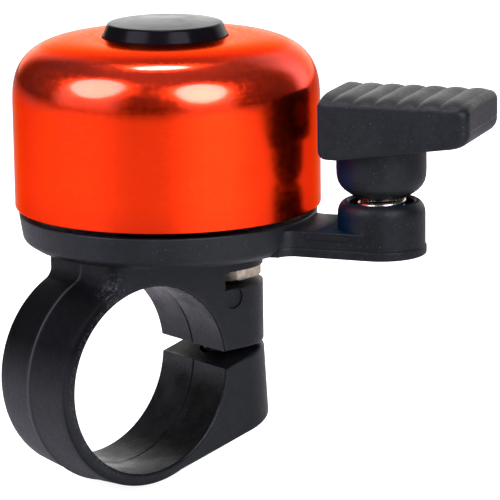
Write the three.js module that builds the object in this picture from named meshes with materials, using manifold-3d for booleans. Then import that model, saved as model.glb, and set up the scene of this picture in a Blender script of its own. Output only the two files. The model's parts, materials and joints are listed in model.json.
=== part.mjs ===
// Bicycle bell for a handlebar: a turned dome on a moulded base that grips the bar with a
// split ring and a pinch screw, and a sprung lever that is flicked against the dome.
// Millimetres, +Z up. Every shape below is drawn from the centre of the handlebar bore, with
// the bar along Y and the ring's split on the +X side. The finished group is then moved so
// that its origin is the middle of the bell's footprint, at the height of its lowest point.
import * as THREE from "three";
import { mergeVertices } from "three/addons/utils/BufferGeometryUtils.js";
import Module from "manifold-3d";

const wasm = await Module();
wasm.setup();

// ---- driving dimensions ----

const FINE = 72; // segments of the large round parts
const COARSE = 32; // segments of the small round parts
const OVERLAP = 0.5; // how far bodies that are joined run into one another
const CLEAR = 1; // how far a cutting body runs past what it cuts

// Where the bore's centre ends up in the finished frame
const BORE_PLACE = new THREE.Vector3(-9.63, 9.27, 12.95);

// Handlebar ring. Its outside is a little eccentric, so that it is thickest at the hinge.
const BAR_RADIUS = 11.1;
const CLAMP_HALF_WIDTH = 6.2;
const RING_EDGE_RADIUS = 12.5; // outside, at the flat side faces
const RING_RIDGE_RADIUS = 13.0; // outside, at the mould line half way across
const RING_SHIFT_X = -0.3;
const RING_SHIFT_Z = 0.05;
const HINGE_GAP = 0.3; // opening between base and jaw at the flexing side
const LUG_END_X = 20.0;
const LUG_CORNER_RADIUS = 5.8;
const UPPER_LUG_BOTTOM_Z = 1.5;
const NECK_INNER_X = -5.35;
const NECK_FILLET_TOP_Z = 12.0;
const NECK_FILLET_FOOT = new THREE.Vector2(-7.8, 9.6); // on the ring's outside
const JAW_TOP_Z = 1.05;
const JAW_LEAN = 0.065; // the lower lug's sides swing outwards towards its foot
const JAW_UNDER_SLOPE = 0.25; // underside of the lower lug, tangent to the ring
const JAW_UNDER_Z = -12.55; // height of that slope where it passes under the bore's centre

// Base disc, on the bell's own upright axis
const BELL_X = 7.7;
const DISC_BOTTOM_Z = 14.75;
const DISC_FLOOR_Z = 17.2;
const DISC_TOP_Z = 18.55;
const DISC_RADIUS = 17.6;
const DISC_FOOT_INSET = 1.6;
const DISC_FLANK_INSET = 0.3;
const DISC_FLANK_RISE = 1.1;
const DISC_LIP_WIDTH = 0.8;
const DISC_EDGE = 0.2;

// Dome: straight wall, then a superellipse shoulder, then a nearly flat crown
const DOME_RADIUS = 18.0;
const DOME_WALL = 1.0;
const DOME_RIM_Z = 19.2;
const SHOULDER_START_Z = 31.25;
const SHOULDER_REACH = 9.8;
const SHOULDER_RISE = 7.75;
const SHOULDER_POWER = 2.85;
const RECESS_RADIUS = 7.35;
const RECESS_FLOOR_Z = 38.2;
const DOME_HOLE_RADIUS = 2.9;

// Cap and the fixings under it
const CAP_BASE_RADIUS = 7.05;
const CAP_TOP_RADIUS = 6.7;
const CAP_TOP_Z = 40.6;
const CAP_CROWN = 0.2;
const CAP_POCKET_RADIUS = 4.75;
const CAP_POCKET_TOP_Z = 39.8;
const POST_RADIUS = 4.2;
const POST_TOP_Z = 36.2;
const PILOT_RADIUS = 1.65;
const PILOT_DEPTH = 13;
const WEB_HEIGHT = 9;
const WEB_REACH = 7;
const WEB_HALF_THICKNESS = 0.6;
const BUSH_RADIUS = 5.2;
const BUSH_BORE_RADIUS = 1.75;
const WASHER_RADIUS = 4.6;
const WASHER_THICKNESS = 0.45;
const DOME_SCREW_RADIUS = 1.5;
const DOME_SCREW_LENGTH = 12; // inside the post
const DOME_SCREW_HEAD_RADIUS = 2.9;
const DOME_SCREW_HEAD_HEIGHT = 1.0;
const SEAT_GAP = 0.05; // between stacked faces

// Striker arm and boss: distances along the arm are from the bell's axis
const ARM_TURN = THREE.MathUtils.degToRad(-60);
const ARM_HALF_WIDTH = 5.2;
const ARM_BOTTOM_Z = 14.85;
const ARM_TOP_Z = 17.9;
const ARM_FILLET = 2.0;
const BOSS_U = 26.4;
const BOSS_RADIUS = 5.06;
const BOSS_TOP_Z = 21.1;
const BOSS_ROUND_WIDTH = 1.0;
const BOSS_ROUND_HEIGHT = 1.4;
const BOSS_MOUTH_RADIUS = 3.75;
const MOUTH_CHAMFER = 0.3;
const POCKET_FLOOR_Z = 16.3;
const SPIGOT_RADIUS = 1.85;
const SPIGOT_HEIGHT = 2.5; // in the boss
const UPPER_SPIGOT_HEIGHT = 3.2; // in the lever's cup

// Spring
const COIL_RADIUS = 2.45; // to the middle of the wire
const WIRE_RADIUS = 0.4;
const COIL_PITCH = 0.92;
const SPRING_BOTTOM_Z = 16.9;
const SPRING_TURNS = 10;

// Lever: a cup over the spring under a ribbed thumb paddle
const CUP_RADIUS = 5.2;
const CUP_TOP_Z = 28.5;
const CUP_BOTTOM_Z = 21.7;
const CUP_MOUTH_RADIUS = 3.1;
const CUP_POCKET_TOP_Z = 26.7;
const PADDLE_HALF_WIDTH = 7.0;
const PADDLE_INNER_U = 20.85;
const PADDLE_OUTER_U = 38.7;
const PADDLE_EDGE_Z = 33.1;
const PADDLE_FOOT_Z = 26.7;
const PADDLE_CROWN = 0.85;
const CORNER_CUT = 1.2;
const RIB_PITCH = 2.55;
const RIB_HEIGHT = 0.28;
const FIRST_VALLEY_U = 22.5;
const PIN_RADIUS = 1.5;
const PIN_Z = 30.4;
const PIN_PROUD = 0.75;
const PIN_LENGTH = 6.0;
const PIN_HOLE_GAP = 0.05;

// Pinch screw and its captive nut
const SCREW_X = 15.8;
const SCREW_RADIUS = 2.45;
const SCREW_TIP_Z = 13.2;
const HEAD_RADIUS = 4.0;
const HEAD_HEIGHT = 3.0;
const HEAD_SEAT_Z = -4.5;
const COUNTERBORE_RADIUS = 4.3;
const JAW_HOLE_RADIUS = 2.9;
const LUG_HOLE_RADIUS = 3.15;
const NUT_ACROSS_FLATS = 8.0;
const NUT_BOTTOM_Z = 9.25;
const NUT_THICKNESS = 1.5;
const NUT_BORE_RADIUS = 2.6;
const NUT_TURN = THREE.MathUtils.degToRad(12);
const NUT_CHAMFER = 0.35;
const SOCKET_ACROSS_FLATS = 4;
const SOCKET_DEPTH = 2;
const SLOT_BOTTOM_Z = 8.8;
const SLOT_TOP_Z = 11.1;
const SLOT_INNER_X = 11.1;
const SLOT_BACK_Y = 4.6;

// ---- helpers: closed geometry to solid and back ----

// Six times the signed volume under one triangle.
function tripleProduct(position, a, b, c) {
  const p = new THREE.Vector3().fromBufferAttribute(position, a);
  const q = new THREE.Vector3().fromBufferAttribute(position, b);
  const r = new THREE.Vector3().fromBufferAttribute(position, c);
  return p.dot(q.cross(r));
}

// A closed geometry as a solid: shared corners merged, flat slivers at an axis dropped and
// the faces turned outwards.
function solid(geometry) {
  const bare = geometry.clone();
  bare.deleteAttribute("normal");
  bare.deleteAttribute("uv");
  const merged = mergeVertices(bare, 1e-4);
  const position = merged.attributes.position;
  const corners = merged.index.array;
  const triangles = [];
  let volume = 0;
  for (let i = 0; i < corners.length; i += 3) {
    const [a, b, c] = corners.slice(i, i + 3);
    if (a === b || b === c || c === a) continue;
    triangles.push([a, b, c]);
    volume += tripleProduct(position, a, b, c);
  }
  const outward = volume > 0 ? triangles : triangles.map(([a, b, c]) => [a, c, b]);
  return new wasm.Manifold(new wasm.Mesh({
    numProp: 3,
    vertProperties: new Float32Array(position.array),
    triVerts: new Uint32Array(outward.flat()),
  }));
}

function geometryOf(shape) {
  const cut = shape.getMesh();
  const geometry = new THREE.BufferGeometry();
  geometry.setAttribute("position", new THREE.BufferAttribute(cut.vertProperties, 3));
  geometry.setIndex(new THREE.BufferAttribute(cut.triVerts, 1));
  geometry.computeVertexNormals();
  return geometry;
}

// ---- helpers: basic solids ----

// A profile of [radius, height] points turned about an upright axis.
function turned(profile, segments = FINE) {
  const points = profile.map(([r, z]) => new THREE.Vector2(r, z));
  return new THREE.LatheGeometry(points, segments).rotateX(Math.PI / 2);
}

function rod(radius, low, high, segments = COARSE) {
  return turned([[0, low], [radius, low], [radius, high], [0, high]], segments);
}

function block(x, y, z) {
  const box = new THREE.BoxGeometry(x[1] - x[0], y[1] - y[0], z[1] - z[0]);
  return box.translate((x[0] + x[1]) / 2, (y[0] + y[1]) / 2, (z[0] + z[1]) / 2);
}

// A plan outline drawn in X and Y, raised from low to high.
function upright(outline, low, high) {
  const settings = { depth: high - low, bevelEnabled: false, curveSegments: 12 };
  return new THREE.ExtrudeGeometry(outline, settings).translate(0, 0, low);
}

// A side outline drawn in X and Z, carried along Y to half of width either side.
function acrossBar(outline, halfWidth) {
  const settings = { depth: 2 * halfWidth, bevelEnabled: false, curveSegments: 12 };
  return new THREE.ExtrudeGeometry(outline, settings).rotateX(Math.PI / 2).translate(0, halfWidth, 0);
}

function polygon(points) {
  return new THREE.Shape(points.map(([x, y]) => new THREE.Vector2(x, y)));
}

// A skin over matching closed loops of points, with flat ends.
function loft(loops) {
  const count = loops[0].length;
  const last = (loops.length - 1) * count;
  const flat = loops[0].map((point) => new THREE.Vector2(point.x, point.z));
  const index = [];
  for (const [a, b, c] of THREE.ShapeUtils.triangulateShape(flat, [])) {
    index.push(a, b, c, last + a, last + c, last + b);
  }
  const clockwise = THREE.ShapeUtils.isClockWise(flat);
  for (let ring = 0; ring < last; ring += count) {
    for (let i = 0; i < count; i += 1) {
      const j = (i + 1) % count;
      const quad = [ring + i, ring + j, ring + count + j, ring + count + i];
      const [a, b, c, d] = clockwise ? quad : quad.reverse();
      index.push(a, b, c, a, c, d);
    }
  }
  const geometry = new THREE.BufferGeometry().setFromPoints(loops.flat());
  geometry.setIndex(index);
  return geometry;
}

// ---- materials ----

function finish(color, roughness, metalness) {
  return new THREE.MeshStandardMaterial({ color, roughness, metalness });
}

const anodisedOrange = finish(0xff3c0f, 0.32, 0.9);
const charcoalPlastic = finish(0x2d2d31, 0.55, 0);
const glossBlack = finish(0x121214, 0.2, 0);
const brightSteel = finish(0xc9c5bb, 0.3, 1);
const zincSteel = finish(0xc7b9a2, 0.4, 1);
const blackenedSteel = finish(0x2b2a29, 0.45, 1);
const naturalNylon = finish(0xe6e0d0, 0.6, 0);

const bell = new THREE.Group();
const arm = new THREE.Group();
arm.position.x = BELL_X;
arm.rotation.z = ARM_TURN;
bell.add(arm);

function place(name, geometry, material, parent = bell) {
  const mesh = new THREE.Mesh(geometry, material);
  mesh.name = name;
  parent.add(mesh);
  return mesh;
}

// ---- ring shared by base and jaw ----

const halfBore = CLAMP_HALF_WIDTH + CLEAR;
const bore = solid(rod(BAR_RADIUS, -halfBore, halfBore, FINE).rotateX(Math.PI / 2));

function wholeRing() {
  const inside = BAR_RADIUS - CLEAR;
  const profile = [
    [inside, -CLAMP_HALF_WIDTH],
    [RING_EDGE_RADIUS, -CLAMP_HALF_WIDTH],
    [RING_RIDGE_RADIUS, 0],
    [RING_EDGE_RADIUS, CLAMP_HALF_WIDTH],
    [inside, CLAMP_HALF_WIDTH],
    [inside, -CLAMP_HALF_WIDTH],
  ];
  return solid(turned(profile).rotateX(Math.PI / 2)).translate(RING_SHIFT_X, 0, RING_SHIFT_Z);
}

// The rounded plan that both lugs share at their outer end.
function lugPlan() {
  const straight = LUG_END_X - LUG_CORNER_RADIUS;
  const side = CLAMP_HALF_WIDTH;
  const centre = side - LUG_CORNER_RADIUS;
  const start = -RING_RIDGE_RADIUS;
  const plan = new THREE.Shape();
  plan.moveTo(start, -side);
  plan.lineTo(straight, -side);
  plan.absarc(straight, -centre, LUG_CORNER_RADIUS, -Math.PI / 2, 0, false);
  plan.absarc(straight, centre, LUG_CORNER_RADIUS, 0, Math.PI / 2, false);
  plan.lineTo(start, side);
  return plan;
}

// ---- base: disc, post, striker arm, neck, upper lug and upper half of the ring ----

function disc() {
  return solid(turned([
    [0, DISC_BOTTOM_Z],
    [DISC_RADIUS - DISC_FOOT_INSET, DISC_BOTTOM_Z],
    [DISC_RADIUS - DISC_FOOT_INSET / 2, DISC_BOTTOM_Z + DISC_FLANK_RISE / 3],
    [DISC_RADIUS - DISC_FLANK_INSET, DISC_BOTTOM_Z + DISC_FLANK_RISE],
    [DISC_RADIUS, DISC_TOP_Z - DISC_EDGE],
    [DISC_RADIUS - DISC_EDGE, DISC_TOP_Z],
    [DISC_RADIUS - DISC_LIP_WIDTH, DISC_TOP_Z],
    [DISC_RADIUS - DISC_LIP_WIDTH - DISC_EDGE, DISC_FLOOR_Z],
    [0, DISC_FLOOR_Z],
  ]));
}

// Hollow post for the dome's screw, stiffened by four webs.
function post() {
  const low = DISC_FLOOR_Z - OVERLAP;
  const high = low + WEB_HEIGHT;
  const root = POST_RADIUS - CLEAR;
  const web = polygon([[root, low], [WEB_REACH, low], [POST_RADIUS, high], [root, high]]);
  let shape = solid(rod(POST_RADIUS, low, POST_TOP_Z));
  for (let quarter = 0; quarter < 4; quarter += 1) {
    const plate = acrossBar(web, WEB_HALF_THICKNESS).rotateZ((quarter * Math.PI) / 2);
    shape = shape.add(solid(plate));
  }
  return shape.subtract(solid(rod(PILOT_RADIUS, POST_TOP_Z - PILOT_DEPTH, POST_TOP_Z + CLEAR)));
}

// Flat arm that runs out of the disc, with small fillets where they meet.
function armPlate() {
  const insideDisc = 8;
  const rim = DISC_RADIUS - DISC_FLANK_INSET;
  const fillet = ARM_HALF_WIDTH + ARM_FILLET;
  const centreU = Math.sqrt((rim + ARM_FILLET) ** 2 - fillet ** 2);
  const onRim = Math.atan2(fillet, centreU);
  const plan = new THREE.Shape();
  plan.moveTo(insideDisc, -insideDisc);
  plan.lineTo(rim * Math.cos(onRim), -rim * Math.sin(onRim));
  plan.absarc(centreU, -fillet, ARM_FILLET, Math.PI - onRim, Math.PI / 2, true);
  plan.absarc(BOSS_U, 0, ARM_HALF_WIDTH, -Math.PI / 2, Math.PI / 2, false);
  plan.absarc(centreU, fillet, ARM_FILLET, -Math.PI / 2, onRim - Math.PI, true);
  plan.lineTo(rim * Math.cos(onRim), rim * Math.sin(onRim));
  plan.lineTo(insideDisc, insideDisc);
  return solid(upright(plan, ARM_BOTTOM_Z, ARM_TOP_Z));
}

// Round boss at the arm's end with a pocket and a spigot for the spring.
function boss() {
  const steps = 4;
  const low = ARM_TOP_Z - OVERLAP;
  const profile = [[0, low], [BOSS_RADIUS, low]];
  for (let i = 0; i <= steps; i += 1) {
    const angle = (i / steps) * (Math.PI / 2);
    const inwards = BOSS_ROUND_WIDTH * (1 - Math.cos(angle));
    const down = BOSS_ROUND_HEIGHT * (1 - Math.sin(angle));
    profile.push([BOSS_RADIUS - inwards, BOSS_TOP_Z - down]);
  }
  profile.push([0, BOSS_TOP_Z]);
  return solid(turned(profile, COARSE)).translate(BOSS_U, 0, 0);
}

function springPocket() {
  const above = 0.1;
  const pocket = solid(turned([
    [0, POCKET_FLOOR_Z],
    [BOSS_MOUTH_RADIUS, POCKET_FLOOR_Z],
    [BOSS_MOUTH_RADIUS, BOSS_TOP_Z - MOUTH_CHAMFER],
    [BOSS_MOUTH_RADIUS + MOUTH_CHAMFER + above, BOSS_TOP_Z + above],
    [0, BOSS_TOP_Z + above],
  ], COARSE));
  const spigot = solid(rod(SPIGOT_RADIUS, POCKET_FLOOR_Z - CLEAR, POCKET_FLOOR_Z + SPIGOT_HEIGHT));
  return pocket.subtract(spigot).translate(BOSS_U, 0, 0);
}

// Neck and upper lug, from under the disc down to the top of the split.
function neck() {
  const top = DISC_BOTTOM_Z + OVERLAP;
  const end = LUG_END_X + CLEAR;
  const inStrap = new THREE.Vector2(-6.5, 7.5);
  const lugStartX = 8;
  const foot = NECK_FILLET_FOOT;
  const side = new THREE.Shape();
  side.moveTo(NECK_INNER_X, top);
  side.lineTo(NECK_INNER_X, NECK_FILLET_TOP_Z);
  side.quadraticCurveTo(NECK_INNER_X, (NECK_FILLET_TOP_Z + foot.y) / 2, foot.x, foot.y);
  side.lineTo(inStrap.x, inStrap.y);
  side.lineTo(lugStartX, UPPER_LUG_BOTTOM_Z);
  side.lineTo(end, UPPER_LUG_BOTTOM_Z);
  side.lineTo(end, top);
  const plan = solid(upright(lugPlan(), UPPER_LUG_BOTTOM_Z - CLEAR, top + CLEAR));
  return solid(acrossBar(side, CLAMP_HALF_WIDTH)).intersect(plan);
}

function nutSlot() {
  return solid(block(
    [SLOT_INNER_X, LUG_END_X + CLEAR],
    [-CLAMP_HALF_WIDTH - CLEAR, SLOT_BACK_Y],
    [SLOT_BOTTOM_Z, SLOT_TOP_Z],
  ));
}

function baseBody() {
  const onBell = disc().add(post()).translate(BELL_X, 0, 0);
  const turn = THREE.MathUtils.radToDeg(ARM_TURN);
  const striker = armPlate().add(boss()).rotate([0, 0, turn]).translate(BELL_X, 0, 0);
  const pocket = springPocket().rotate([0, 0, turn]).translate(BELL_X, 0, 0);
  const wide = CLAMP_HALF_WIDTH + CLEAR;
  const far = RING_RIDGE_RADIUS + CLEAR;
  const upperLeft = solid(block([-far, 0], [-wide, wide], [HINGE_GAP / 2, far]));
  const screwHole = solid(rod(LUG_HOLE_RADIUS, 0, SCREW_TIP_Z + CLEAR)).translate(SCREW_X, 0, 0);
  return onBell
    .add(striker)
    .add(wholeRing().intersect(upperLeft))
    .add(neck())
    .subtract(pocket)
    .subtract(bore)
    .subtract(nutSlot())
    .subtract(screwHole);
}

// ---- jaw: lower half of the ring and the lower lug ----

function jawLug() {
  const underZ = (x) => JAW_UNDER_SLOPE * x + JAW_UNDER_Z;
  const inStrap = new THREE.Vector2(9, -1.15); // inside the bore, which cuts it back
  const flatStart = new THREE.Vector2(17.2, JAW_TOP_Z);
  const endTop = new THREE.Vector2(20.1, 0.5);
  const endFoot = new THREE.Vector2(20.55, -6.8);
  const footRound = 0.9;
  const underStartX = 3;
  const side = new THREE.Shape();
  side.moveTo(inStrap.x, inStrap.y);
  side.lineTo(flatStart.x, flatStart.y);
  side.lineTo(endTop.x - OVERLAP, JAW_TOP_Z);
  side.quadraticCurveTo(endTop.x, JAW_TOP_Z, endTop.x, endTop.y);
  side.lineTo(endFoot.x, endFoot.y);
  side.quadraticCurveTo(endFoot.x, underZ(endFoot.x), endFoot.x - footRound, underZ(endFoot.x - footRound));
  side.lineTo(underStartX, underZ(underStartX));
  side.lineTo(underStartX, -RING_EDGE_RADIUS + footRound);
  const lean = new THREE.Matrix4().makeShear(0, 0, 0, 0, -JAW_LEAN, 0);
  const plan = upright(lugPlan(), -RING_RIDGE_RADIUS - CLEAR, JAW_TOP_Z + CLEAR).applyMatrix4(lean);
  return solid(acrossBar(side, CLAMP_HALF_WIDTH)).intersect(solid(plan));
}

function jaw() {
  const wide = CLAMP_HALF_WIDTH + CLEAR;
  const far = RING_RIDGE_RADIUS + CLEAR;
  const lowerLeft = solid(block([-far, 0], [-wide, wide], [-far, -HINGE_GAP / 2]));
  const lowerRight = solid(block([-OVERLAP, far], [-wide, wide], [-far, HEAD_SEAT_Z]));
  const screwHole = solid(rod(JAW_HOLE_RADIUS, -far, JAW_TOP_Z + CLEAR)).translate(SCREW_X, 0, 0);
  const counterbore = solid(rod(COUNTERBORE_RADIUS, -far, HEAD_SEAT_Z)).translate(SCREW_X, 0, 0);
  return wholeRing()
    .intersect(lowerLeft.add(lowerRight))
    .add(jawLug())
    .subtract(bore)
    .subtract(screwHole)
    .subtract(counterbore);
}

// ---- pinch screw and nut ----

function hexagon(acrossFlats, turn = 0) {
  const corner = acrossFlats / Math.sqrt(3);
  const points = [];
  for (let i = 0; i < 6; i += 1) {
    const angle = turn + (i * Math.PI) / 3;
    points.push([corner * Math.cos(angle), corner * Math.sin(angle)]);
  }
  return polygon(points);
}

function clampScrew() {
  const seat = HEAD_SEAT_Z - SEAT_GAP;
  const low = seat - HEAD_HEIGHT;
  const headEdge = 0.4;
  const tipChamfer = 0.6;
  const body = solid(turned([
    [0, low],
    [HEAD_RADIUS - headEdge, low],
    [HEAD_RADIUS, low + headEdge],
    [HEAD_RADIUS, seat],
    [SCREW_RADIUS, seat],
    [SCREW_RADIUS, SCREW_TIP_Z - tipChamfer],
    [SCREW_RADIUS - tipChamfer, SCREW_TIP_Z],
    [0, SCREW_TIP_Z],
  ], COARSE));
  return body.subtract(solid(upright(hexagon(SOCKET_ACROSS_FLATS), low - CLEAR, low + SOCKET_DEPTH)));
}

function clampNut() {
  const top = NUT_BOTTOM_Z + NUT_THICKNESS;
  const corner = NUT_ACROSS_FLATS / Math.sqrt(3);
  const chamferRise = NUT_CHAMFER / 2;
  const envelope = solid(turned([
    [0, NUT_BOTTOM_Z],
    [corner - NUT_CHAMFER, NUT_BOTTOM_Z],
    [corner, NUT_BOTTOM_Z + chamferRise],
    [corner, top - chamferRise],
    [corner - NUT_CHAMFER, top],
    [0, top],
  ], COARSE));
  return solid(upright(hexagon(NUT_ACROSS_FLATS, NUT_TURN), NUT_BOTTOM_Z - CLEAR, top + CLEAR))
    .intersect(envelope)
    .subtract(solid(rod(NUT_BORE_RADIUS, NUT_BOTTOM_Z - CLEAR, top + CLEAR)));
}

// ---- dome, cap and their fixings ----

// Outer surface from the end of the wall to the recess, at a distance inside it.
function shoulder(inset, steps, innerRadius) {
  const points = [];
  for (let i = 0; i <= steps; i += 1) {
    const angle = (i / steps) * (Math.PI / 2);
    const across = (SHOULDER_REACH - inset) * Math.cos(angle) ** (2 / SHOULDER_POWER);
    const up = (SHOULDER_RISE - inset) * Math.sin(angle) ** (2 / SHOULDER_POWER);
    points.push([DOME_RADIUS - SHOULDER_REACH + across, SHOULDER_START_Z + up]);
  }
  points.push([innerRadius, SHOULDER_START_Z + SHOULDER_RISE - inset + 0.1]);
  return points;
}

function dome() {
  const lip = 0.4;
  const outside = [[DOME_RADIUS - lip / 2, DOME_RIM_Z], [DOME_RADIUS, DOME_RIM_Z + lip]]
    .concat(shoulder(0, 14, RECESS_RADIUS));
  const recess = [
    [RECESS_RADIUS, RECESS_FLOOR_Z],
    [DOME_HOLE_RADIUS, RECESS_FLOOR_Z],
    [DOME_HOLE_RADIUS, RECESS_FLOOR_Z - DOME_WALL],
  ];
  const inside = shoulder(DOME_WALL, 8, RECESS_RADIUS + DOME_WALL).slice(0, -1).reverse();
  const under = [RECESS_RADIUS + DOME_WALL / 2, RECESS_FLOOR_Z - DOME_WALL];
  const rim = [DOME_RADIUS - DOME_WALL, DOME_RIM_Z];
  return turned([...outside, ...recess, under, ...inside, rim, outside[0]]);
}

function cap() {
  const bottom = RECESS_FLOOR_Z + 0.15;
  const skirt = 0.8;
  const edge = 0.4;
  return turned([
    [CAP_POCKET_RADIUS, bottom],
    [CAP_BASE_RADIUS, bottom],
    [CAP_BASE_RADIUS, bottom + skirt],
    [CAP_TOP_RADIUS, CAP_TOP_Z - edge],
    [CAP_TOP_RADIUS - 0.3 * edge, CAP_TOP_Z - 0.3 * edge],
    [CAP_TOP_RADIUS - edge, CAP_TOP_Z],
    [CAP_TOP_RADIUS / 2, CAP_TOP_Z + 0.75 * CAP_CROWN],
    [0, CAP_TOP_Z + CAP_CROWN],
    [0, CAP_POCKET_TOP_Z],
    [CAP_POCKET_RADIUS, CAP_POCKET_TOP_Z],
    [CAP_POCKET_RADIUS, bottom],
  ], 48);
}

// Nylon bush that keeps the dome off the post and centres its hole.
function domeBush() {
  const low = POST_TOP_Z + SEAT_GAP;
  const flangeTop = RECESS_FLOOR_Z - DOME_WALL - SEAT_GAP;
  const neckRadius = DOME_HOLE_RADIUS - 2 * SEAT_GAP;
  return turned([
    [BUSH_BORE_RADIUS, low],
    [BUSH_RADIUS, low],
    [BUSH_RADIUS, flangeTop],
    [neckRadius, flangeTop],
    [neckRadius, RECESS_FLOOR_Z],
    [BUSH_BORE_RADIUS, RECESS_FLOOR_Z],
    [BUSH_BORE_RADIUS, low],
  ], COARSE);
}

function domeWasher() {
  const low = RECESS_FLOOR_Z + SEAT_GAP;
  const high = low + WASHER_THICKNESS;
  return turned([
    [BUSH_BORE_RADIUS, low],
    [WASHER_RADIUS, low],
    [WASHER_RADIUS, high],
    [BUSH_BORE_RADIUS, high],
    [BUSH_BORE_RADIUS, low],
  ], COARSE);
}

function domeScrew() {
  const seat = RECESS_FLOOR_Z + 2 * SEAT_GAP + WASHER_THICKNESS;
  const top = seat + DOME_SCREW_HEAD_HEIGHT;
  const tip = POST_TOP_Z - DOME_SCREW_LENGTH;
  const pointLength = 1.4;
  const slotReach = 1.5;
  const slotHalfWidth = 0.35;
  const slotDepth = 0.55;
  const body = solid(turned([
    [0, tip],
    [0.6 * DOME_SCREW_RADIUS, tip + pointLength / 2],
    [DOME_SCREW_RADIUS, tip + pointLength],
    [DOME_SCREW_RADIUS, seat],
    [DOME_SCREW_HEAD_RADIUS, seat],
    [DOME_SCREW_HEAD_RADIUS, seat + DOME_SCREW_HEAD_HEIGHT / 2],
    [0.7 * DOME_SCREW_HEAD_RADIUS, top],
    [0, top],
  ], COARSE));
  const slotBlade = solid(block(
    [-slotHalfWidth, slotHalfWidth],
    [-slotReach, slotReach],
    [top - slotDepth, top + CLEAR],
  ));
  return body.subtract(slotBlade).subtract(slotBlade.rotate([0, 0, 90]));
}

// ---- striker: spring, lever and strike pin ----

class Helix extends THREE.Curve {
  getPoint(t, target = new THREE.Vector3()) {
    const angle = t * SPRING_TURNS * 2 * Math.PI;
    const height = SPRING_BOTTOM_Z + t * SPRING_TURNS * COIL_PITCH;
    return target.set(COIL_RADIUS * Math.cos(angle), COIL_RADIUS * Math.sin(angle), height);
  }
}

function spring() {
  const wire = hexagon(2 * WIRE_RADIUS * Math.cos(Math.PI / 6));
  const settings = { extrudePath: new Helix(), steps: SPRING_TURNS * 14, bevelEnabled: false };
  return new THREE.ExtrudeGeometry(wire, settings);
}

// Height of the paddle's top: a crown across its width with ribs along its length.
function paddleTop(u, s) {
  const edge = Math.abs(s) / PADDLE_HALF_WIDTH;
  const cover = 1 - edge ** 5;
  const along = (u - FIRST_VALLEY_U) / RIB_PITCH;
  const valley = RIB_HEIGHT * (1 - Math.abs(Math.sin(Math.PI * along)));
  return PADDLE_EDGE_Z + cover * (PADDLE_CROWN - valley);
}

// Side outline of the paddle at one place across it, top from the outer to the inner end.
function paddleLoop(s) {
  const cut = CORNER_CUT * Math.max(0, Math.abs(s) - (PADDLE_HALF_WIDTH - 1)) ** 2;
  const outer = PADDLE_OUTER_U - cut;
  const edge = 0.5;
  const belly = 1.1; // rounding under the inner end
  const loop = [
    [PADDLE_INNER_U, PADDLE_FOOT_Z + belly],
    [PADDLE_INNER_U + 0.2 * belly, PADDLE_FOOT_Z + 0.45 * belly],
    [PADDLE_INNER_U + 0.75 * belly, PADDLE_FOOT_Z],
    [23.2, PADDLE_FOOT_Z],
    [28.0, 27.4],
    [34.0, 28.3],
    [outer - 1.4, 28.75],
    [outer - 0.5, 29.2],
    [outer, 30.2],
    [outer, 32.2],
    [outer - 0.4, PADDLE_EDGE_Z - edge / 2],
  ];
  const steps = 42;
  const topStart = PADDLE_OUTER_U - CORNER_CUT - OVERLAP;
  const topEnd = PADDLE_INNER_U + edge / 2;
  for (let i = 0; i <= steps; i += 1) {
    const u = topStart + (i / steps) * (topEnd - topStart);
    loop.push([u, paddleTop(u, s)]);
  }
  loop.push([PADDLE_INNER_U, PADDLE_EDGE_Z - edge]);
  return loop.map(([u, z]) => new THREE.Vector3(u, s, z));
}

function paddle() {
  const half = [0, 3, 5, 5.8, 6.4, 6.8, PADDLE_HALF_WIDTH];
  const stations = half.slice(1).reverse().map((s) => -s).concat(half);
  return solid(loft(stations.map(paddleLoop)));
}

function lever() {
  const cup = solid(turned([
    [0, CUP_BOTTOM_Z],
    [CUP_MOUTH_RADIUS + 0.2, CUP_BOTTOM_Z],
    [4.05, 22.3],
    [4.7, 22.9],
    [5.05, 23.5],
    [CUP_RADIUS, 24.2],
    [CUP_RADIUS, CUP_TOP_Z],
    [0, CUP_TOP_Z],
  ], COARSE));
  const pocket = solid(rod(CUP_MOUTH_RADIUS, CUP_BOTTOM_Z - CLEAR, CUP_POCKET_TOP_Z));
  const spigotLow = CUP_POCKET_TOP_Z - UPPER_SPIGOT_HEIGHT;
  const spigot = solid(rod(SPIGOT_RADIUS, spigotLow, CUP_POCKET_TOP_Z + OVERLAP));
  const hollow = pocket.subtract(spigot).translate(BOSS_U, 0, 0);
  const pinHole = solid(strikePin(PIN_RADIUS + PIN_HOLE_GAP, 2 * PIN_HOLE_GAP));
  return paddle().add(cup.translate(BOSS_U, 0, 0)).subtract(hollow).subtract(pinHole);
}

// Metal pin pressed into the paddle, its domed end facing the dome.
function strikePin(radius = PIN_RADIUS, extra = 0) {
  const tipRound = 0.4;
  const profile = [
    [0, -extra],
    [radius, -extra],
    [radius, PIN_LENGTH - tipRound],
    [0.75 * radius, PIN_LENGTH - tipRound / 4],
    [0, PIN_LENGTH],
  ];
  const tail = PADDLE_INNER_U - PIN_PROUD + PIN_LENGTH;
  return turned(profile, COARSE).rotateY(-Math.PI / 2).translate(tail, 0, PIN_Z);
}

// ---- assembly ----

place("base_body", geometryOf(baseBody()), charcoalPlastic);
place("clamp_jaw", geometryOf(jaw()), charcoalPlastic);
place("clamp_screw", geometryOf(clampScrew()), blackenedSteel).position.x = SCREW_X;
place("clamp_nut", geometryOf(clampNut()), zincSteel).position.x = SCREW_X;
place("dome", dome(), anodisedOrange).position.x = BELL_X;
place("dome_cap", cap(), glossBlack).position.x = BELL_X;
place("dome_bush", domeBush(), naturalNylon).position.x = BELL_X;
place("dome_washer", domeWasher(), brightSteel).position.x = BELL_X;
place("dome_screw", geometryOf(domeScrew()), zincSteel).position.x = BELL_X;
place("striker_spring", spring(), brightSteel, arm).position.x = BOSS_U;
place("striker_lever", geometryOf(lever()), charcoalPlastic, arm);
place("strike_pin", strikePin(), brightSteel, arm);

bell.position.copy(BORE_PLACE);

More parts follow.
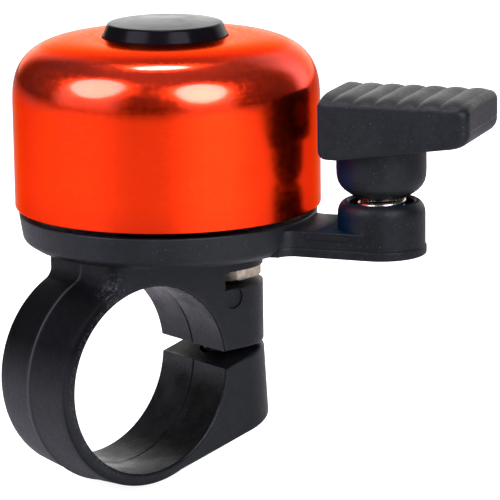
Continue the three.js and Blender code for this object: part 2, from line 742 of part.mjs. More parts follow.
export default bell;
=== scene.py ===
"""Looks of a handlebar bicycle bell: fine meshes, materials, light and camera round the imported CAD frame.

Every shape is drawn in millimetres from the centre of the handlebar bore, with the bar along Y
and the ring's split on the +X side, and is then carried into the row frame by PLACE. Parts of
the striker are drawn along the arm instead: u from the bell's axis, s across and z up.
"""

import json
import math

import bmesh
import bpy
from mathutils import Matrix, Quaternion, Vector

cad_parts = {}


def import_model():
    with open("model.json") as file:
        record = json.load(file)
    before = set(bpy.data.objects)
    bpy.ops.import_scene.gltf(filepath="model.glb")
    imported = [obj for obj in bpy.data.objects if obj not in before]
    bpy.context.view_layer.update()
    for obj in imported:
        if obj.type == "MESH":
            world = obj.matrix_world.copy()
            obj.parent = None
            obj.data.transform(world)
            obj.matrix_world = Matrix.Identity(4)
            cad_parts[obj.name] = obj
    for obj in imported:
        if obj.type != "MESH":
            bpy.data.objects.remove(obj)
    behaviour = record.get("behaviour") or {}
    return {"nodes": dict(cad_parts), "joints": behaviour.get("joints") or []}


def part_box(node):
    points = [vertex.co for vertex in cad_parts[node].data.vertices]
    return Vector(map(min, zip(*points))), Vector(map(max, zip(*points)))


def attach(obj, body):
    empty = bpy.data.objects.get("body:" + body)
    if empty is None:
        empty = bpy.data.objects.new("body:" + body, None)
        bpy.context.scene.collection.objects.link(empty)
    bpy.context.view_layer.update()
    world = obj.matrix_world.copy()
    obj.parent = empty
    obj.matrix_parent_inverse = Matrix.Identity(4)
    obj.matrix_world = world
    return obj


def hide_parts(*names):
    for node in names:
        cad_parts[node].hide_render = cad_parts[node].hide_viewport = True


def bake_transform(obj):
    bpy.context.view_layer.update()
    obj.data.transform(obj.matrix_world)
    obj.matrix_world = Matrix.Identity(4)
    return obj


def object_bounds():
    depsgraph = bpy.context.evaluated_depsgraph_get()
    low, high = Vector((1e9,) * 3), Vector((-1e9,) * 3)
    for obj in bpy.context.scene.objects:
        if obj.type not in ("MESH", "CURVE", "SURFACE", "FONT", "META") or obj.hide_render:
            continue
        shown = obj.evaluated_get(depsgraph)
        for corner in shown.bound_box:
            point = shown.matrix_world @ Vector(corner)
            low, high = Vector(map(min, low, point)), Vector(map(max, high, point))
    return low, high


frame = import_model()
cad_low, cad_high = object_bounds()

# ---- places taken from the frame ----

MM = 0.001
JOINTS = {joint["name"]: joint for joint in frame["joints"]}
STRAP_MIDDLE = 11.95  # from the bore's centre to the line where the ring flexes

HINGE = Vector(JOINTS["jaw_flex"]["pos_m"])
BORE = HINGE + Vector((STRAP_MIDDLE * MM, 0, 0))
PLACE = Matrix.Translation(BORE) @ Matrix.Scale(MM, 4)


def middle(node):
    """Centre of a CAD node's box, in millimetres from the bore's centre."""
    low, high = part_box(node)
    return ((low + high) / 2 - BORE) / MM


def top_of(node):
    return (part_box(node)[1].z - BORE.z) / MM


def foot_of(node):
    return (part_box(node)[0].z - BORE.z) / MM


def width_of(node):
    low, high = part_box(node)
    return (high.x - low.x) / MM


def at_x(x):
    """Row-frame X of a place given in millimetres from the bore's centre."""
    return BORE.x + x * MM


def at_z(z):
    return BORE.z + z * MM


BELL_X = middle("dome").x
BOSS = (Vector(JOINTS["striker_rock"]["pos_m"]) - BORE) / MM
ARM_TURN = math.atan2(BOSS.y, BOSS.x - BELL_X)
BOSS_U = math.hypot(BOSS.x - BELL_X, BOSS.y)
ON_BELL = Matrix.Translation((BELL_X, 0, 0))
ON_ARM = ON_BELL @ Matrix.Rotation(ARM_TURN, 4, "Z")
ON_BOSS = ON_ARM @ Matrix.Translation((BOSS_U, 0, 0))
ACROSS_BAR = Matrix.Rotation(math.radians(-90), 4, "X")  # height then runs along +Y
SCREW_X = middle("clamp_screw").x
ON_SCREW = Matrix.Translation((SCREW_X, 0, 0))

# ---- driving sizes, in millimetres ----

BAR_RADIUS = 11.1
HALF_WIDTH = 6.2
LUG_PROUD = 0.004  # the lugs stand this proud of the strap, so that no joined faces coincide
RING_EDGE_RADIUS = 12.5
RING_RIDGE_RADIUS = 13.0
RING_EDGE_ROUND = 0.32
RIDGE_HEIGHT = 0.09
RIDGE_HALF_WIDTH = 0.16
RING_CENTRE = (-0.3, 0.05)
LUG_END_X = 20.0
LUG_ROUND = 5.8
UPPER_LUG_Z = 1.5
JAW_TOP_Z = 1.05
JAW_LEAN = 0.065
NECK_X = -5.35
NECK_FRONT_ROUND = 1.5
NECK_BACK_ROUND = 0.5

DISC_LOW = 14.75
DISC_FLOOR = 17.2
DISC_TOP = 18.55
DISC_RADIUS = 17.6
POST_RADIUS = 4.2
POST_TOP = 36.2

ARM_HALF_WIDTH = 5.2
ARM_LOW = 14.85
ARM_STEP = 15.95
ARM_TOP = 17.9
ARM_FILLET = 2.0
BOSS_RADIUS = 5.06
BOSS_TOP = 21.1
MOUTH_RADIUS = 3.75
POCKET_FLOOR = 16.3
SPIGOT_RADIUS = 1.85

DOME_RADIUS = width_of("dome") / 2
DOME_RIM = foot_of("dome")
DOME_WALL = 1.0
SHOULDER_START = 31.25
SHOULDER_REACH = 9.8
SHOULDER_RISE = 7.75
SHOULDER_POWER = 2.85
RECESS_RADIUS = 7.35
RECESS_FLOOR = 38.2

CAP_BASE_RADIUS = 7.3
CAP_TOP_RADIUS = 6.7
CAP_CROWN = 0.2
CAP_TOP = top_of("dome_cap") - CAP_CROWN

COIL_RADIUS = 2.45
WIRE_RADIUS = 0.4
COIL_PITCH = 0.92
SPRING_LOW = 16.9
SPRING_TURNS = 10

CUP_RADIUS = 5.2
CUP_LOW = 21.7
PADDLE_HALF_WIDTH = 7.0
PADDLE_INNER = 20.85
PADDLE_OUTER = 38.7
PADDLE_EDGE = 33.1
PADDLE_CROWN = 0.85
PADDLE_EDGE_ROUND = 0.28
RIB_PITCH = 2.55
RIB_DEPTH = 0.36
FIRST_VALLEY = 22.5
PIN_Z = 30.4

NUT_FLATS = 8.0
THREAD_PITCH = 0.8
THREAD_DEPTH = 0.42

SMOOTH_ANGLE = math.radians(32)
SAME_POINT = 1e-4  # corners closer than this, in millimetres, are one corner
NO_LENGTH = 1e-5
CUT_SLIVER = 3e-6  # corners that cutting leaves closer than this, in millimetres, are joined

# ---- mesh helpers ----


def placed(name, data):
    """A new object in the scene."""
    made = bpy.data.objects.new(name, data)
    bpy.context.scene.collection.objects.link(made)
    return made


def solid(points, faces, place=None):
    """A closed mesh object in millimetres, shared corners merged and faces turned outwards."""
    mesh = bpy.data.meshes.new("shape")
    mesh.from_pydata([tuple(point) for point in points], [], faces)
    work = bmesh.new()
    work.from_mesh(mesh)
    bmesh.ops.remove_doubles(work, verts=work.verts, dist=SAME_POINT)
    bmesh.ops.dissolve_degenerate(work, edges=work.edges, dist=NO_LENGTH)
    bmesh.ops.recalc_face_normals(work, faces=work.faces)
    if place is not None:
        bmesh.ops.transform(work, matrix=place, verts=work.verts)
    work.to_mesh(mesh)
    work.free()
    return placed("shape", mesh)


def skin(loops, place=None, wrap=False):
    """A skin over matching closed loops: wrapped round on itself, or with flat ends."""
    count = len(loops[0])
    rows = len(loops)
    faces = []
    for row in range(rows if wrap else rows - 1):
        a = row * count
        b = (row + 1) % rows * count
        for i in range(count):
            j = (i + 1) % count
            faces.append((a + i, a + j, b + j, b + i))
    if not wrap:
        faces.append(tuple(range(count)))
        faces.append(tuple(range((rows - 1) * count, rows * count)))
    return solid([point for loop in loops for point in loop], faces, place)


def rounded(corners, steps=5, closed=True):
    """An outline through corners given as (a, b) or (a, b, radius), the radii turned into curves."""
    line = []
    count = len(corners)
    for i, corner in enumerate(corners):
        here = Vector(corner[:2])
        radius = corner[2] if len(corner) > 2 else 0
        at_end = not closed and i in (0, count - 1)
        if radius == 0 or at_end:
            line.append(here)
            continue
        before = Vector(corners[i - 1][:2]) - here
        after = Vector(corners[(i + 1) % count][:2]) - here
        half = before.angle(after) / 2
        reach = min(radius / math.tan(half), 0.49 * before.length, 0.49 * after.length)
        start = here + before.normalized() * reach
        end = here + after.normalized() * reach
        line += bend(start, here, end, steps)
    return line


def bend(start, corner, end, steps):
    """Points on a smooth curve from start to end that leans into a corner."""
    start, corner, end = Vector(start), Vector(corner), Vector(end)
    curve = []
    for k in range(steps + 1):
        t = k / steps
        curve.append(start * (1 - t) ** 2 + corner * 2 * t * (1 - t) + end * t ** 2)
    return curve


def lathe(profile, place=None, steps=96, closed=False, round_steps=5):
    """A profile of (radius, height, rounding) turned about the upright axis."""
    line = rounded(profile, round_steps, closed)
    loops = []
    for radius, height in line:
        loop = []
        for i in range(steps):
            angle = 2 * math.pi * i / steps
            loop.append((radius * math.cos(angle), radius * math.sin(angle), height))
        loops.append(loop)
    return skin(loops, place, wrap=closed)


def rod(radius, low, high, place=None, steps=64):
    return lathe([(0, low), (radius, low), (radius, high), (0, high)], place, steps)


def inset(outline, distance):
    """An anticlockwise outline moved inwards."""
    count = len(outline)
    moved = []
    for i, point in enumerate(outline):
        along = Vector(outline[(i + 1) % count]) - Vector(outline[i - 1])
        inward = Vector((-along.y, along.x)).normalized()
        moved.append(Vector(point) + inward * distance)
    return moved


def quarter(steps):
    """Angles through a quarter turn, in even steps."""
    return [math.pi / 2 * k / steps for k in range(steps + 1)]


def round_over(edge):
    """Pairs of (inset, rise) that turn a square edge into a quarter circle."""
    return [(edge * (1 - math.sin(angle)), edge * (1 - math.cos(angle))) for angle in quarter(4)]


def round_drop(place, end, radius):
    """How far a rounded edge has fallen away at a place near its end."""
    over = max(0.0, (place - (end - radius)) / radius)
    return radius * (1 - math.sqrt(max(0.0, 1 - over * over)))


def round_stations(end, radius, steps=5):
    """Places across a rounded edge, closer together towards its end."""
    return [end - radius + radius * math.sin(angle) for angle in quarter(steps)]


def both_ways(half):
    """The same places on both sides of the middle, and the middle itself."""
    return [-place for place in reversed(half)] + [0.0] + half


def prism(outline, low, high, edge, place=None):
    """An anticlockwise plan outline raised from low to high, its long edges rounded."""
    levels = [(shrink, low + rise) for shrink, rise in round_over(edge)]
    levels += [(shrink, high - rise) for shrink, rise in reversed(round_over(edge))]
    loops = []
    for shrink, height in levels:
        loops.append([(p.x, p.y, height) for p in inset(outline, shrink)])
    return skin(loops, place)


def arc(centre, radius, start, end, steps=12):
    """Points on an arc between two angles in degrees."""
    points = []
    for k in range(steps + 1):
        angle = math.radians(start + (end - start) * k / steps)
        across = centre[0] + radius * math.cos(angle)
        up = centre[1] + radius * math.sin(angle)
        points.append(Vector((across, up)))
    return points


def combine(target, operation, *others):
    """Target joined with, or cut by, each of the others, which are used up."""
    for other in others:
        change = target.modifiers.new("change", "BOOLEAN")
        change.object = other
        change.operation = operation
        change.solver = "EXACT"
    graph = bpy.context.evaluated_depsgraph_get()
    graph.update()
    mesh = bpy.data.meshes.new_from_object(target.evaluated_get(graph))
    target.modifiers.clear()
    target.data = mesh
    for other in others:
        bpy.data.objects.remove(other)
    return target


# ---- materials ----


class Nodes:
    """Short ways to add shader nodes to a tree."""

    def __init__(self, tree):
        self.nodes = tree.nodes
        self.links = tree.links

    def feed(self, value, socket):
        if hasattr(value, "links"):
            self.links.new(value, socket)
        else:
            socket.default_value = value

    def node(self, kind, feeds=None, **settings):
        """A new node, its inputs fed by name or number."""
        made = self.nodes.new("ShaderNode" + kind)
        for key, value in settings.items():
            setattr(made, key, value)
        for key, value in (feeds or {}).items():
            self.feed(value, made.inputs[key])
        return made

    def maths(self, operation, a, b=0.0):
        return self.node("Math", {0: a, 1: b}, operation=operation).outputs[0]

    def times(self, first, *others):
        """All the values multiplied together."""
        for other in others:
            first = self.maths("MULTIPLY", first, other)
        return first

    def most(self, first, *others):
        for other in others:
            first = self.maths("MAXIMUM", first, other)
        return first

    def joined(self, x, y, z):
        """A vector made of three values."""
        return self.node("CombineXYZ", {0: x, 1: y, 2: z}).outputs[0]

    def axes(self, vector):
        return self.node("SeparateXYZ", {0: vector}).outputs

    def vectors(self, operation, a, b=(0, 0, 0)):
        """Outputs of a vector sum: Vector and Value."""
        return self.node("VectorMath", {0: a, 1: b}, operation=operation).outputs

    def apart(self, vector, place):
        """Distance from a vector to a fixed place."""
        return self.vectors("DISTANCE", vector, place)["Value"]

    def remap(self, value, low, high, to_low=0.0, to_high=1.0, smooth=False):
        kind = "SMOOTHSTEP" if smooth else "LINEAR"
        feeds = {0: value, 1: low, 2: high, 3: to_low, 4: to_high}
        return self.node("MapRange", feeds, interpolation_type=kind).outputs[0]

    def mix(self, factor, a, b):
        return self.node("Mix", {"Factor": factor, 6: a, 7: b}, data_type="RGBA").outputs[2]

    def dot(self, vector, direction):
        return self.vectors("DOT_PRODUCT", vector, direction)["Value"]

    def fade(self, value, *stops):
        """A grey level that runs through (value, level) stops."""
        made = self.node("ValToRGB", {0: value})
        elements = made.color_ramp.elements
        while len(elements) < len(stops):
            elements.new(1.0)
        for element, (place, level) in zip(elements, stops):
            element.position = place
            element.color = grey(level)
        return made.outputs[0]

    def lobe(self, level_vector, azimuth, full, none):
        """1 within full degrees of an azimuth from the camera's side, falling to 0 at none."""
        unit = self.vectors("NORMALIZE", level_vector)["Vector"]
        along = self.dot(unit, camera_back(azimuth, 0))
        edge, core = math.cos(math.radians(none)), math.cos(math.radians(full))
        return self.remap(along, edge, core, smooth=True)

    def flat(self, vector):
        """A vector with its upright part taken out."""
        return self.vectors("MULTIPLY", vector, (1, 1, 0))["Vector"]


class Look(Nodes):
    """A Principled material."""

    def __init__(self, name, **settings):
        self.material = bpy.data.materials.new(name)
        self.material.use_nodes = True
        super().__init__(self.material.node_tree)
        self.shader = self.nodes["Principled BSDF"]
        for key, value in settings.items():
            self.shader.inputs[key.replace("_", " ")].default_value = value

    def position(self):
        return self.node("TexCoord").outputs["Object"]

    def noise(self, scale, detail=4.0, stretch=(1, 1, 1), vector=None, roughness=0.5):
        """Noise with features of about 1 / scale millimetres."""
        scales = [scale * s / MM for s in stretch]
        place = self.position() if vector is None else vector
        mapped = self.node("Mapping", {"Vector": place, "Scale": scales}).outputs[0]
        feeds = {"Vector": mapped, "Scale": 1.0, "Detail": detail, "Roughness": roughness}
        return self.node("TexNoise", feeds).outputs["Fac"]

    def set(self, name, value):
        self.feed(value, self.shader.inputs[name])

    def bump(self, height, depth, strength=1.0, below=None):
        """Bump of the given depth in millimetres."""
        feeds = {"Strength": strength, "Distance": depth * MM, "Height": height}
        if below is not None:
            feeds["Normal"] = below
        made = self.node("Bump", feeds).outputs[0]
        self.set("Normal", made)
        return made


def grey(level):
    return (level, level, level, 1)


def turned_grain(look, x, y, z):
    """Fine noise drawn out into rings round the dome, on its wall and on its crown alike."""
    centre_x = at_x(BELL_X)
    out_x = look.maths("SUBTRACT", x, centre_x)
    out_y = look.maths("SUBTRACT", y, BORE.y)
    squares = look.maths("ADD", look.times(out_x, out_x), look.times(out_y, out_y))
    along = look.maths("SUBTRACT", z, look.maths("SQRT", squares))
    return look.noise(1.0, 6.0, (0.12, 0.12, 9.0), look.joined(x, y, along), 0.62)


def clear_film(look):
    """Weight of the coat: full on the shoulder, less on the wall, the flat crown and edge on."""
    upward = look.axes(look.node("NewGeometry").outputs["Normal"])[2]
    off_wall = look.remap(upward, 0.0, 0.3, 0.05, 1.0, True)
    off_crown = look.remap(upward, 0.86, 0.95, 1.0, 0.12, True)
    edge_on = look.node("LayerWeight", {"Blend": 0.5}).outputs["Facing"]
    face_on = look.remap(edge_on, 0.45, 0.7, 1.0, 0.2, True)
    return look.times(off_wall, off_crown, face_on)


def anodised_orange():
    """Orange-red anodised aluminium with fine turned grain running round the dome.

    The tint for edge-on reflections is set to keep them orange.
    """
    look = Look("anodised_orange", Metallic=1.0, Coat_Roughness=0.12, Anisotropic=0.45)
    look.set("Specular Tint", (1.0, 0.46, 0.28, 1))
    x, y, z = look.axes(look.position())
    grain = turned_grain(look, x, y, z)
    cloud = look.noise(0.12, 3.0)
    speck = look.noise(1.5, 2.0)
    colour = look.mix(look.remap(grain, 0.3, 0.7), (0.97, 0.032, 0.002, 1), (1.0, 0.052, 0.005, 1))
    colour = look.mix(look.remap(speck, 0.35, 0.65, 0.35, 0.0), colour, (0.80, 0.022, 0.001, 1))
    colour = look.mix(look.remap(cloud, 0.35, 0.75, 0.0, 0.5), colour, (0.98, 0.044, 0.003, 1))
    rim = look.remap(z, at_z(DOME_RIM), at_z(DOME_RIM + 3.5), 0.35, 0.0, True)
    look.set("Base Color", look.mix(rim, colour, (0.62, 0.022, 0.004, 1)))
    grain_rough = look.remap(grain, 0.25, 0.75, 0.15, 0.24)
    speck_rough = look.remap(speck, 0.35, 0.65, 0.0, 0.05)
    look.set("Roughness", look.maths("ADD", grain_rough, speck_rough))
    look.set("Coat Weight", clear_film(look))
    look.set("Tangent", look.node("Tangent", direction_type="RADIAL", axis="Z").outputs[0])
    look.bump(grain, 0.007, 0.6)
    return look.material


def on_striker_arm(look, z):
    """1 on the striker's arm and boss, 0 on the rest of the moulding."""
    from_bell = look.apart(look.flat(look.position()), (at_x(BELL_X), BORE.y, 0))
    outside = look.remap(from_bell, 18.2 * MM, 20.5 * MM)
    return look.times(outside, look.remap(z, at_z(14.0), at_z(14.6)))


def painted_ring_highlights(look, y, from_axis, under_disc, to_left):
    """Painted highlights on the ring: a pale line all along its ridge, and pale patches on its bore's left
    edges.
    """
    to_side = look.maths("ABSOLUTE", look.maths("SUBTRACT", y, BORE.y))
    near_ridge = look.remap(to_side, 0.24 * MM, 0.08 * MM)
    on_outside = look.remap(from_axis, 12.2 * MM, 12.5 * MM)
    ridge = look.times(near_ridge, on_outside, under_disc, 0.8)
    near_side = look.remap(to_side, (HALF_WIDTH - 0.42) * MM, (HALF_WIDTH - 0.18) * MM)
    on_inside = look.remap(from_axis, 12.1 * MM, 11.7 * MM)
    patches = look.remap(look.noise(3.0, 3.0), 0.48, 0.62, 0.0, 0.6)
    return look.most(ridge, look.times(near_side, on_inside, patches, to_left))


def painted_glint_spots(look):
    """Painted glints: patchy pale speckles close to one spot on the neck's face."""
    spot = BORE + Vector((-5.2, -5.8, 11.6)) * MM
    close = look.remap(look.apart(look.position(), spot), 0.8 * MM, 2.8 * MM, 1.0, 0.0, True)
    return look.times(close, look.remap(look.noise(3.4, 3.0, roughness=0.7), 0.52, 0.66))


def painted_light_of_base(look, upward, colour, rough, arm):
    """Painted light on the base, worked into its colour (a bluish painted reflection on the arm's top,
    painted shade under the disc, painted glints on the neck and painted highlights on the ring), with its
    roughness and how dull it is.
    """
    x, y, z = look.axes(look.position())
    under_disc = look.remap(z, at_z(DISC_LOW + 0.2), at_z(DISC_LOW))
    to_left = look.remap(x, at_x(-3.0), at_x(-7.0))
    # Painted shade: the ring's upper left, under the disc, is darkened almost to black and dulled, where
    # the disc's shadow falls.
    painted_shade_under_disc = look.times(under_disc, to_left, look.remap(z, at_z(-0.5), at_z(5.5)))
    # Painted reflection: the arm's upward faces are tinted dark bluish and dulled.
    painted_arm_top = look.times(arm, look.remap(upward, 0.8, 0.95))
    colour = look.mix(look.times(painted_arm_top, 0.8), colour, (0.002, 0.011, 0.022, 1))
    colour = look.mix(look.times(painted_shade_under_disc, 0.75), colour, (0.0012, 0.0012, 0.0014, 1))
    # Painted glints on the neck's face.
    colour = look.mix(painted_glint_spots(look), colour, (0.045, 0.045, 0.052, 1))
    from_axis = look.apart(look.joined(x, 0.0, z), (BORE.x, 0, BORE.z))
    # Painted highlights: the ring's ridge and its bore's left edges are made paler.
    painted_highlights = painted_ring_highlights(look, y, from_axis, under_disc, to_left)
    colour = look.mix(painted_highlights, colour, (0.036, 0.037, 0.040, 1))
    in_bore = look.remap(from_axis, 11.6 * MM, 11.3 * MM)
    low_down = look.remap(z, at_z(-5.0), at_z(-9.0), 0.0, 0.45)
    dull = look.most(painted_arm_top, look.times(arm, 0.4), look.times(painted_shade_under_disc, 0.85), look.times(in_bore, low_down))
    patch = look.remap(look.noise(0.35, 3.0), 0.35, 0.65, 0.2, 0.4)
    outside_bore = look.maths("SUBTRACT", 1.0, in_bore)
    rough = look.maths("ADD", look.times(rough, outside_bore), look.times(patch, in_bore))
    return colour, look.maths("ADD", rough, look.times(painted_arm_top, 0.2)), dull


def moulded(name, dark, light, roughness, painted_reflection_colour, is_base=False):
    """Charcoal moulded plastic: fine texture, faint flow clouding and pale specks, and on the base painted
    highlights and painted shade.

    It takes a painted dark blue reflection where it faces the camera's left: all of the lever, but only the
    arm of the base.
    """
    look = Look(name, IOR=1.42)
    cloud = look.noise(0.16, 4.0)
    flow = look.noise(1.1, 4.0, roughness=0.65)
    texture = look.noise(2.6, 5.0)
    speck = look.noise(5.5, 1.0)
    colour = look.mix(look.remap(cloud, 0.3, 0.7), dark, light)
    colour = look.mix(look.remap(flow, 0.35, 0.65, 0.6, 0.0), colour, (0.002, 0.002, 0.003, 1))
    colour = look.mix(look.remap(speck, 0.70, 0.8, 0.0, 0.6), colour, (0.09, 0.09, 0.095, 1))
    normal = look.node("NewGeometry").outputs["Normal"]
    upward = look.axes(normal)[2]
    # Painted reflection: faces turned to the camera's left are tinted dark blue and lose some of their
    # shine.
    painted_reflection = look.remap(look.dot(normal, camera_left()), 0.45, 0.95, 0.0, 0.9, True)
    rough = look.remap(cloud, 0.3, 0.7, roughness - 0.05, roughness + 0.06)
    rough = look.maths("ADD", rough, look.remap(texture, 0.3, 0.7, -0.04, 0.06))
    if is_base:
        arm = on_striker_arm(look, look.axes(look.position())[2])
        painted_reflection = look.times(painted_reflection, arm)
        colour, rough, dull = painted_light_of_base(look, upward, colour, rough, arm)
    else:
        rough = look.maths("SUBTRACT", rough, look.remap(upward, 0.4, 0.8, 0.0, 0.05))
        dull = 0.18
    look.set("Base Color", look.mix(painted_reflection, colour, painted_reflection_colour))
    look.set("Specular IOR Level", look.remap(look.most(painted_reflection, dull), 0.0, 1.0, 0.34, 0.02))
    look.set("Specular Tint", (0.84, 0.96, 0.95, 1))
    look.set("Roughness", rough)
    waves = look.bump(look.noise(0.6, 3.0), 0.06, 0.45)
    ripple = look.bump(flow, 0.03, 0.6, waves)
    look.bump(texture, 0.024, 1.0, ripple)
    return look.material


def gloss_black():
    """The cap: black plastic with faint haze. Its index is set low to keep reflections dark."""
    look = Look("gloss_black", IOR=1.12)
    cloud = look.noise(0.3, 3.0)
    look.set("Base Color", look.mix(cloud, (0.002, 0.002, 0.003, 1), (0.005, 0.005, 0.006, 1)))
    look.set("Roughness", look.remap(cloud, 0.3, 0.7, 0.14, 0.26))
    look.bump(look.noise(1.2, 3.0), 0.01, 0.4)
    return look.material


def plated(name, pale, deep, roughness, scale=1.5, stretch=(1, 1, 1)):
    """Plated or drawn steel: uneven plating colour, fine scratches and a soft bump."""
    look = Look(name, Metallic=1.0)
    cloud = look.noise(scale * 0.5, 4.0)
    scratch = look.noise(scale, 5.0, stretch)
    look.set("Base Color", look.mix(look.remap(cloud, 0.35, 0.7), pale, deep))
    look.set("Roughness", look.remap(scratch, 0.3, 0.7, roughness - 0.08, roughness + 0.1))
    look.bump(scratch, 0.012, 0.5)
    return look.material


def natural_nylon():
    look = Look("natural_nylon", Subsurface_Weight=0.15, IOR=1.5)
    cloud = look.noise(0.5, 4.0)
    look.set("Base Color", look.mix(cloud, (0.72, 0.68, 0.58, 1), (0.84, 0.81, 0.72, 1)))
    look.set("Roughness", look.remap(cloud, 0.3, 0.7, 0.45, 0.62))
    look.bump(look.noise(3.0, 4.0), 0.012, 0.5)
    return look.material


# ---- finished pieces ----


def clean(mesh):
    """Joins corners that all but coincide, splits many-sided faces and drops loose edges."""
    work = bmesh.new()
    work.from_mesh(mesh)
    bmesh.ops.remove_doubles(work, verts=work.verts, dist=CUT_SLIVER)
    many_sided = [face for face in work.faces if len(face.verts) > 4]
    bmesh.ops.triangulate(work, faces=many_sided, ngon_method="BEAUTY")
    bmesh.ops.dissolve_degenerate(work, edges=work.edges, dist=CUT_SLIVER)
    loose = [edge for edge in work.edges if not edge.link_faces]
    bmesh.ops.delete(work, geom=loose, context="EDGES")
    work.to_mesh(mesh)
    work.free()


def piece(name, shape, material, slot, *nodes, body=None):
    """Carries a shape into the row frame, smooths it and lets it stand for CAD nodes."""
    shape.name = name
    shape.data.name = name
    clean(shape.data)
    shape.data.transform(PLACE)
    shape.data.materials.clear()
    shape.data.materials.append(material)
    for face in shape.data.polygons:
        face.use_smooth = True
    shape.data.set_sharp_from_angle(angle=SMOOTH_ANGLE)
    even = shape.modifiers.new("even_normals", "WEIGHTED_NORMAL")
    even.keep_sharp = True
    if body is not None:
        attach(shape, body)
    if nodes:
        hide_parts(*nodes)
    return shape


# ---- moulded base with its ring, one piece of plastic whose ring flexes on the real bell, drawn rigid here ----


def disc():
    outer = [
        (0, DISC_LOW), (DISC_RADIUS - 1.6, DISC_LOW, 0.5),
        (DISC_RADIUS - 0.45, DISC_LOW + 0.75, 1.0), (DISC_RADIUS, DISC_TOP, 0.22),
        (DISC_RADIUS - 0.85, DISC_TOP, 0.15), (DISC_RADIUS - 1.0, DISC_FLOOR, 0.15),
        (0, DISC_FLOOR),
    ]
    return lathe(outer, ON_BELL, 160)


def post():
    low = DISC_FLOOR - 0.5
    pilot_radius = 1.65
    pilot_depth = 13
    body = rod(POST_RADIUS, low, POST_TOP, ON_BELL)
    webs = []
    for quarter in range(4):
        turn = ON_BELL @ Matrix.Rotation(quarter * math.pi / 2 + 0.01, 4, "Z")
        side = [(3, low), (7, low), (4.3, low + 9), (3, low + 9)]
        loops = [[(x, y, z) for x, z in side] for y in (-0.6, 0.6)]
        webs.append(skin(loops, turn))
    body = combine(body, "UNION", *webs)
    pilot = rod(pilot_radius, POST_TOP - pilot_depth, POST_TOP + 1, ON_BELL)
    return combine(body, "DIFFERENCE", pilot)


def arm_outline(half_width):
    """Plan of the striker arm, with fillets where it leaves the disc."""
    rim = DISC_RADIUS - 0.3
    reach = half_width + ARM_FILLET
    centre_u = math.sqrt((rim + ARM_FILLET) ** 2 - reach ** 2)
    on_rim = math.degrees(math.atan2(reach, centre_u))
    lower = arc((centre_u, -reach), ARM_FILLET, 180 - on_rim, 90, 10)
    end = arc((BOSS_U, 0), half_width, -90, 90, 48)
    upper = arc((centre_u, reach), ARM_FILLET, -90, on_rim - 180, 10)
    return [Vector((8, -7.4))] + lower + end + upper + [Vector((8, 7.4))]


def arm():
    """Two layers that leave the fine step of a mould line round the arm and the boss."""
    lower = prism(arm_outline(ARM_HALF_WIDTH), ARM_LOW, ARM_STEP, 0.22, ON_ARM)
    upper = prism(arm_outline(BOSS_RADIUS - 0.03), ARM_STEP - 0.4, ARM_TOP, 0.2, ON_ARM)
    return combine(lower, "UNION", upper, side_panel())


def side_panel():
    """Shallow raised panel on the arm's side."""
    inner, outer, corner = 18.9, 24.2, 0.25
    low, high = ARM_TOP - 0.95, ARM_TOP - 0.3
    outline = rounded([(inner, low, corner), (outer, low, corner),
                       (outer, high, corner), (inner, high, corner)])
    loops = []
    for out, shrink in ((-0.6, 0.0), (0.06, 0.0), (0.15, 0.085)):
        loops.append([(p.x, -BOSS_RADIUS - out, p.y) for p in inset(outline, shrink)])
    return skin(loops, ON_ARM)


def boss():
    """Round boss whose top edge is a quarter of an ellipse."""
    inwards, down = 1.05, 1.5
    profile = [(0, ARM_STEP), (BOSS_RADIUS, ARM_STEP)]
    for angle in quarter(10):
        across = BOSS_RADIUS - inwards * (1 - math.cos(angle))
        profile.append((across, BOSS_TOP - down * (1 - math.sin(angle))))
    profile.append((0, BOSS_TOP))
    return lathe(profile, ON_BOSS, 96)


def spring_pocket():
    mouth = 0.28
    profile = [
        (0, POCKET_FLOOR), (MOUTH_RADIUS, POCKET_FLOOR), (MOUTH_RADIUS, BOSS_TOP - mouth, 0.1),
        (MOUTH_RADIUS + 2 * mouth, BOSS_TOP + mouth), (0, BOSS_TOP + mouth),
    ]
    pocket = lathe(profile, ON_BOSS, 96)
    spigot = lathe([(0, POCKET_FLOOR - 1), (SPIGOT_RADIUS, POCKET_FLOOR - 1),
                    (SPIGOT_RADIUS, POCKET_FLOOR + 2.5, 0.3), (0, POCKET_FLOOR + 2.5)], ON_BOSS, 48)
    return combine(pocket, "DIFFERENCE", spigot)


def ring_radius(y):
    """Outside radius of the ring across its width: two slopes, a fine ridge and rounded edges."""
    side = abs(y)
    radius = RING_RIDGE_RADIUS + (RING_EDGE_RADIUS - RING_RIDGE_RADIUS) * side / HALF_WIDTH
    if side < RIDGE_HALF_WIDTH:
        radius += RIDGE_HEIGHT * (1 - side / RIDGE_HALF_WIDTH)
    return radius - round_drop(side, HALF_WIDTH, RING_EDGE_ROUND)


def ring_stations():
    """Places across the ring's width, close together at the ridge and at the rounded edges."""
    slope = [RIDGE_HALF_WIDTH, 0.6, 1.5, 2.6, 3.8, 4.9]
    return both_ways(slope + round_stations(HALF_WIDTH, RING_EDGE_ROUND))


def ring_band(start, end, steps=110):
    """The strap from one angle to another, in degrees. Its inside is left for the bore to cut."""
    inside = BAR_RADIUS - 0.7
    loops = []
    for k in range(steps + 1):
        angle = math.radians(start + (end - start) * k / steps)
        across, up = math.cos(angle), math.sin(angle)
        shift = RING_CENTRE[0] * across + RING_CENTRE[1] * up
        loop = [(inside * across, y, inside * up) for y in (HALF_WIDTH, -HALF_WIDTH)]
        for y in ring_stations():
            radius = ring_radius(y) + shift
            loop.append((radius * across, y, radius * up))
        loops.append(loop)
    return skin(loops)


